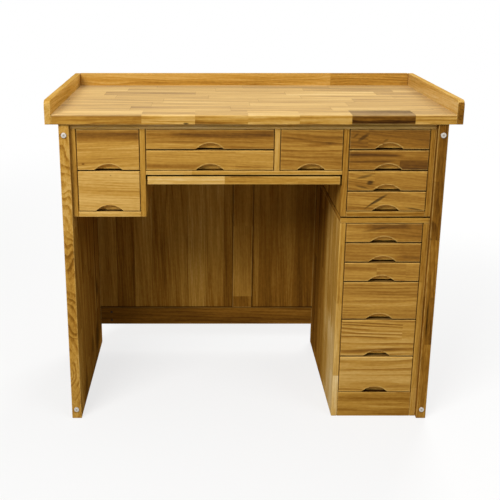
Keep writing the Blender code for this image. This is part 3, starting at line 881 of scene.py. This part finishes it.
# Fixed boards
FIXED = {
    "worktop": Board(
        "X",
        "Z",
        (0.61,),
        figure=(0.18,),
        streak=1.2,
        stave=0.0728,
        block=0.30,
        spread=0.15,
        painted_sheen=0.34,
        patch=Patch(-0.01, 0.223, 0.008, 0.1213, 0.65),
        lead=Lead(
            (0.34, 0.59, 0.58, 0.75, 0.60, 0.22, 0.60), (0.223, 0.355, 0.486, 0.613, 0.742, 0.898)
        ),
        marks=(Mark((0.333, 0.0, 0.10), (0.011, 0.004, 0.004), 0.85),),
    ),
    "rail_back": Board(
        "X", "Y", (0.66, 0.56), (0.763,), (0.07, 0.12), bands=(Band(0.5, 0.2, 0.4, -0.10, 0.2, 0.5),)
    ),
    "rail_left": Board("Y", "X", (0.67,), end=0.02),
    # Its tone is raised as painted light on its shaded inner face
    "rail_right": Board("Y", "X", (0.79,), end=-0.48),
    "side_panel_left": Board(
        "Z",
        "X",
        (0.50,),
        figure=(0.14,),
        stave=0.077,
        block=0.33,
        spread=0.14,
        slope=0.07,
        lead=Lead((0.61, 0.56, 0.66, 0.65), (0.29, 0.66, 0.814), 0.17, 0.35),
        # Its marks darken the inner face: a long line near the rear, and blotches near the floor
        marks=(
            Mark((1.0, 0.78, 0.36), (0.012, 0.014, 0.42), 0.60),
            Mark((1.0, 0.83, 0.275), (0.012, 0.022, 0.052), 0.75),
            Mark((1.0, 0.76, 0.090), (0.012, 0.050, 0.075), 0.62),
            Mark((1.0, 0.55, 0.115), (0.012, 0.034, 0.050), 0.52),
            Mark((1.0, 0.24, 0.060), (0.012, 0.030, 0.080), 0.40),
        ),
    ),
    "side_panel_right": Board(
        "Z",
        "X",
        (0.46,),
        figure=(0.11,),
        stave=0.077,
        block=0.33,
        spread=0.12,
        slope=0.06,
        lead=Lead((0.43, 0.36, 0.39, 0.31, 0.34), (0.27, 0.436, 0.63, 0.82)),
        marks=(
            Mark((0.35, 0.0, 0.36), (0.0045, 0.012, 0.085), 0.8),
            Mark((0.30, 0.0, 0.87), (0.004, 0.012, 0.05), 0.5),
        ),
    ),
    # Its tone is raised as painted light on the strip that lies in the worktop's shadow
    "case_top": Board("X", "Z", (0.84,)),
    "left_case_outer_wall": Board("Z", "X", (0.53,), gap=0.006),
    "left_case_inner_wall": Board("Z", "X", (0.60,), gap=0.006),
    "centre_divider": Board("Z", "X", (0.58,), gap=0.006),
    "right_case_inner_wall": Board("Z", "X", (0.54,), gap=0.006, figure=(0.10,)),
    "right_case_outer_wall": Board("Z", "X", (0.55,), gap=0.006, figure=(0.14,)),
    "left_case_bottom": Board("X", "Z", (0.72,)),
    "centre_bottom": Board("X", "Z", (0.76, 0.58), (0.234,), (0.05, 0.06)),
    "right_case_bottom": Board("X", "Z", (0.52,), figure=(0.12,)),
    "tray": Board("X", "Z", (0.77, 0.64, 0.59), (0.40, 0.78), (0.10, 0.10, 0.05)),
    "case_back": Board("X", "Y", (0.55,), stave=0.072, block=0.41, spread=0.20),
    "back_rail": Board(
        # Its mark is a painted shadow line along its top face, where the panel meets it
        "X", "Y", (0.35,), figure=(0.08,), marks=(Mark((0.5, 0.3, 1.0), (3.0, 0.02, 0.0032), 0.75),)
    ),
    "back_stile": Board("Z", "Y", (0.40, 0.55, 0.52), (0.085, 0.62), (0.07, 0.06, 0.07)),
    "back_panel": Board(
        "Z",
        "Y",
        (0.48,),
        stave=0.066,
        block=3.0,
        spread=0.20,
        fade=0.14,
        # Its bands are painted light on its left part and painted shade on its right part, against how the
        # light falls on it
        bands=(Band(0.22, 0.34, 0.0, 0.06), Band(0.86, 0.24, 0.0, -0.08)),
        # Its marks are lines of painted shade along the two edges of the stile
        marks=(
            Mark((0.6232, 0.0, 0.5), (0.0045, 0.02, 3.0), 0.65),
            Mark((0.7144, 0.0, 0.5), (0.0045, 0.02, 3.0), 0.65),
        ),
    ),
    "pedestal_inner_wall": Board(
        "Z",
        "X",
        (0.51,),
        figure=(0.10,),
        stave=0.061,
        block=0.36,
        spread=0.14,
        # Its bands are painted light and shade: lighter towards the front, most low down, and darker towards
        # the rear
        bands=(
            Band(0.20, 0.32, 0.05, 0.36, 0.0, 0.42),
            Band(0.28, 0.25, 0.05, 0.18, 0.42),
            Band(0.85, 0.50, 0.05, -0.14),
        ),
        # Its pale first stave, at the front: partly the wood's own tone, partly painted light
        lead=Lead((0.76, 0.68, 0.66), (0.22, 0.60)),
    ),
    "pedestal_outer_wall": Board("Z", "X", (0.60,), stave=0.061, block=0.36, spread=0.05, fade=-0.04),
    "pedestal_top": Board("X", "Z", (0.56,)),
    "plinth": Board("X", "Y", (0.52,), figure=(0.05,), fade=-0.06),
    "pedestal_bottom": Board("X", "Z", (0.50,)),
    "pedestal_back": Board("Z", "Y", (0.52,), stave=0.066, block=0.45, spread=0.14),
}

# The walls of every drawer box
BOX_BOARD = Board("Y", "X", (0.80,), figure=(0.05,), spread=0.10, gap=0.009, streak=0.35)


def board_finish(node):
    """The varnish of a fixed board: a thin coat on the worktop, and pale edges, worn and with painted
    highlight, faint on the rails.
    """
    if node == "worktop":
        return WORKTOP_FINISH
    return RAIL_FINISH if node.startswith("rail") else BOARD_FINISH


def dress_boards():
    """Gives every board of the bench its own varnished or bare wood."""
    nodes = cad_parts
    for seed, (node, board) in enumerate(FIXED.items()):
        wood = varnished(f"{node}_wood", board, node, seed + BOARD_SEED, board_finish(node))
        put_on(nodes[node], wood)
    for seed, (drawer, board) in enumerate(FRONTS.items()):
        node = f"{drawer}_front"
        put_on(nodes[node], varnished(f"{node}_wood", board, node, seed + FRONT_SEED, FRONT_FINISH))
        node = f"{drawer}_box"
        put_on(nodes[node], bare_box(f"{node}_wood", node, seed + BOX_SEED))


def put_on(piece, material):
    piece.data.materials.clear()
    piece.data.materials.append(material)


def turned_metal(name, metal, face):
    """Satin metal of a bolt or screw: cloudy, with fine rubs, and darker from a little behind its face as
    painted shade in its socket.
    """
    material, root, principled = shader(name, {"Specular IOR Level": METAL_GLOSS})
    place = root.node("ShaderNodeTexCoord", output="Object")
    cloud = place.vector_math("MULTIPLY", CLOUD_SCALES).noise(CLOUD_DETAIL)
    rubs = place.vector_math("MULTIPLY", RUB_SCALES).noise(RUB_DETAIL)
    shine = cloud.rise(*CLOUD_SPAN).blend(paint(metal.dull), paint(metal.bright))
    # Painted shade behind the face: in the socket and on what lies further back
    painted_socket_shade = (place.split()[1] - face).rise(*SOCKET_SHADE)
    feed(principled, "Base Color", painted_socket_shade.blend(shine, paint(metal.deep)))
    feed(principled, "Metallic", METAL_SHARE + (cloud - 0.5) * METAL_SPREAD)
    feed(principled, "Roughness", metal.roughness + rubs * RUB_ROUGHNESS)
    feed_bump(principled, rubs, RUB_STRENGTH, RUB_RELIEF)
    return material


def link_piece(name, points, faces, material, body):
    """One finished piece: its mesh in place, doubles merged at the poles, riding on a body."""
    mesh = grid_mesh(name, points, faces)
    mesh.shade_smooth()
    mesh.set_sharp_from_angle(angle=SHARP_ANGLE)
    piece = bpy.data.objects.new(name, mesh)
    bpy.context.scene.collection.objects.link(piece)
    put_on(piece, material)
    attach(piece, body)
    return piece


def grid_mesh(name, points, faces):
    """A mesh of a grid of points and its quads, closed where points fall together."""
    mesh = bpy.data.meshes.new(name)
    mesh.from_pydata(points.reshape(-1, 3).tolist(), [], faces.reshape(-1, 4).tolist())
    work = bmesh.new()
    work.from_mesh(mesh)
    bmesh.ops.remove_doubles(work, verts=work.verts, dist=POLE_MERGE)
    bmesh.ops.recalc_face_normals(work, faces=work.faces)
    work.to_mesh(mesh)
    work.free()
    return mesh


def ring_faces(rings, steps):
    """Quads between each ring of points and the next, round a full turn."""
    row = np.arange(rings - 1)[:, None]
    col = np.arange(steps)[None, :]
    after = (col + 1) % steps
    this, following = row * steps, (row + 1) * steps
    return np.stack((this + col, this + after, following + after, following + col), axis=-1)


def turned_head(radius, rim, socket, socket_depth, head, stem, depth):
    """A fastener turned about +Z with its face at 0: stem, rounded rim and a hexagon socket.

    Each point stands at its profile's radius and angle. In the socket the circle becomes a hexagon,
    whose radius at an angle is the flat's distance over the cosine of the angle from the flat's middle.
    """
    turn = np.linspace(0.0, math.pi / 2, RIM_STEPS)
    back = np.array([(0.0, -depth), (stem, -depth), (stem, -head), (radius, -head)])
    edge = np.stack((radius - rim + rim * np.cos(turn), rim * np.sin(turn) - rim), axis=-1)
    lip = rim / 4
    hole = np.array(
        [(socket * SOCKET_FLARE, 0.0), (socket, -lip), (socket, -socket_depth), (0.0, -socket_depth - lip)]
    )
    profile = np.concatenate((back, edge, hole))
    hexed = np.concatenate((np.zeros(len(back) + len(edge)), np.ones(len(hole))))[:, None]
    angle = np.linspace(0.0, 2 * math.pi, TURN_STEPS, endpoint=False)
    hexagon = math.cos(math.pi / 6) / np.cos(np.mod(angle, math.pi / 3) - math.pi / 6)
    reach = profile[:, :1] * (1 - hexed + hexed * hexagon[None, :])
    rise = np.broadcast_to(profile[:, 1:], reach.shape)
    return np.stack((reach * np.cos(angle), reach * np.sin(angle), rise), axis=-1)


def set_in_front(points, x, y, z):
    """Turns a fastener made about +Z so that its face looks to the front, at a place."""
    return np.stack((points[..., 0], -points[..., 2], points[..., 1]), axis=-1) + np.array((x, y, z))


def bolts():
    """The four connector bolts in the slabs' front edges: a rounded head with a hexagon socket on a stem."""
    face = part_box("cap_left_upper")[0][1]
    nickel = turned_metal("bolt_nickel", NICKEL, face)
    for side in ("left", "right"):
        for level in ("upper", "lower"):
            node = f"cap_{side}_{level}"
            low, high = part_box(node)
            radius = (high[0] - low[0]) / 2
            points = turned_head(
                radius, BOLT_RIM, BOLT_SOCKET, BOLT_SOCKET_DEPTH, BOLT_HEAD, radius / 2, high[1] - low[1]
            )
            placed = set_in_front(points, (low[0] + high[0]) / 2, low[1], (low[2] + high[2]) / 2)
            faces = ring_faces(len(points), TURN_STEPS)
            piece = link_piece(f"bolt_{side}_{level}", placed, faces, nickel, "bench")
            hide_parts(node)


def rail_screws():
    """Two dark screws that hold the left end of the back rail, their heads a hair proud of it."""
    low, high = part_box("back_rail")
    face = low[1] - SCREW_RIM
    steel = turned_metal("screw_steel", STEEL, face)
    points = turned_head(
        SCREW_RADIUS, SCREW_RIM, SCREW_SOCKET, SCREW_RIM * 2, SCREW_RIM * 2, SCREW_RADIUS / 2, SCREW_DEPTH
    )
    for name, share in zip(("lower", "upper"), SCREW_HEIGHTS):
        place = (low[0] + SCREW_INSET, face, low[2] + (high[2] - low[2]) * share)
        faces = ring_faces(len(points), TURN_STEPS)
        link_piece(f"rail_screw_{name}", set_in_front(points, *place), faces, steel, "bench")


def gap_strip():
    """A strip of wood that closes the back of the gap over the pedestal, dark with that gap's painted shade:
    a flat oval drawn along X.

    A point of the oval lies half its width times the cosine and half its height times the sine from the
    middle, each raised to a power that flattens its sides, and at each end the oval shrinks to a point.
    """
    low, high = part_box("pedestal_top")
    angle = np.linspace(0.0, 2 * math.pi, STRIP_STEPS, endpoint=False)
    size = np.array((0.0, 0.5, 0.5, 0.0))[:, None]
    ends = (low[0] + STRIP_INSET, high[0] - STRIP_INSET)
    along = np.repeat(ends, 2)[:, None] + np.zeros(STRIP_STEPS)
    across, up = (np.sign(wave) * np.abs(wave) ** STRIP_ROUND for wave in (np.cos(angle), np.sin(angle)))
    deep = high[1] - STRIP_INSET - STRIP_WIDTH / 2 + size * across * STRIP_WIDTH
    rise = high[2] - STRIP_HEIGHT / 2 + size * up * STRIP_HEIGHT
    board = FIXED["pedestal_top"]
    # Its wood lies in the gap's painted shade and comes out dark
    wood = varnished("gap_strip_shaded_wood", board, "pedestal_top", STRIP_SEED, BOARD_FINISH)
    points = np.stack((along, deep, rise), axis=-1)
    link_piece("gap_strip", points, ring_faces(len(points), STRIP_STEPS), wood, "bench")


def studio():
    """Softboxes, a dim room for bounced light, and white behind the object for what the eye and gloss see."""
    for name, (place, aim, side, watts, in_gloss) in SOFTBOXES.items():
        lamp = bpy.data.lights.new(f"{name}_softbox", "AREA")
        lamp.shape = "SQUARE"
        lamp.size = side
        lamp.energy = watts
        softbox = bpy.data.objects.new(f"{name}_softbox", lamp)
        softbox.location = place
        softbox.rotation_euler = (Vector(aim) - Vector(place)).to_track_quat("-Z", "Y").to_euler()
        softbox.visible_glossy = in_gloss
        bpy.context.scene.collection.objects.link(softbox)
    world = bpy.data.worlds.new("studio")
    world.use_nodes = True
    bpy.context.scene.world = world
    background = world.node_tree.nodes["Background"]
    background.inputs["Color"].default_value = WHITE
    feed(background, "Strength", seen_rays(Field(world.node_tree)).pick(ROOM_LIGHT, 1.0))


def seen_rays(root):
    """1 for rays that reach the eye straight, by gloss or through glass, 0 for bounced light."""
    straight, gloss, glass = (
        root.node("ShaderNodeLightPath", output=f"Is {kind} Ray")
        for kind in ("Camera", "Glossy", "Transmission")
    )
    return straight.most(gloss).most(glass)


def pale_floor():
    """A round pale floor, rings about the origin, that keeps the shadow near the bench and fades to white."""
    angle = np.linspace(0.0, 2 * math.pi, FLOOR_STEPS, endpoint=False)
    reach = np.array(FLOOR_RINGS)[:, None]
    level = np.full((len(FLOOR_RINGS), FLOOR_STEPS), cad_box[0][2] - FLOOR_DROP)
    points = np.stack((reach * np.cos(angle), reach * np.sin(angle), level), axis=-1)
    mesh = grid_mesh("floor", points, ring_faces(len(FLOOR_RINGS), FLOOR_STEPS))
    floor = bpy.data.objects.new("floor", mesh)
    bpy.context.scene.collection.objects.link(floor)
    constants = {"Roughness": FLOOR_ROUGHNESS, "Specular IOR Level": FLOOR_GLOSS}
    material, root, principled = shader("floor_pale", constants)
    x, y, _ = root.node("ShaderNodeTexCoord", output="Object").split()
    away = (x * x + y * y).root()
    seen = seen_rays(root)
    feed(principled, "Base Color", seen.blend(FLOOR_BOUNCE, FLOOR_PALE))
    glow = root.node("ShaderNodeEmission", None, {"Color": WHITE, "Strength": 1.0})
    share = seen * away.rise(*FLOOR_FADE).pick(FLOOR_GLOW, 1.0)
    base = Field(root.tree, principled.outputs[0])
    mixed = root.node("ShaderNodeMixShader", None, {0: share, 1: base, 2: glow})
    root.tree.links.new(mixed.socket, root.tree.nodes["Material Output"].inputs["Surface"])
    put_on(floor, material)


def eye():
    """The camera, upright and square to the bench, looking a little down."""
    data = bpy.data.cameras.new("camera")
    data.sensor_fit = "HORIZONTAL"
    data.sensor_width = SENSOR
    data.lens = SENSOR * LENS_PER_SENSOR
    data.shift_x, data.shift_y = SHIFT
    camera = bpy.data.objects.new("camera", data)
    camera.location = CAMERA_PLACE
    camera.rotation_euler = (math.pi / 2 - CAMERA_DOWN, 0.0, 0.0)
    bpy.context.scene.collection.objects.link(camera)
    bpy.context.scene.camera = camera


bpy.context.scene.view_settings.view_transform = "Standard"
dress_boards()
bolts()
rail_screws()
gap_strip()
pale_floor()
studio()
eye()
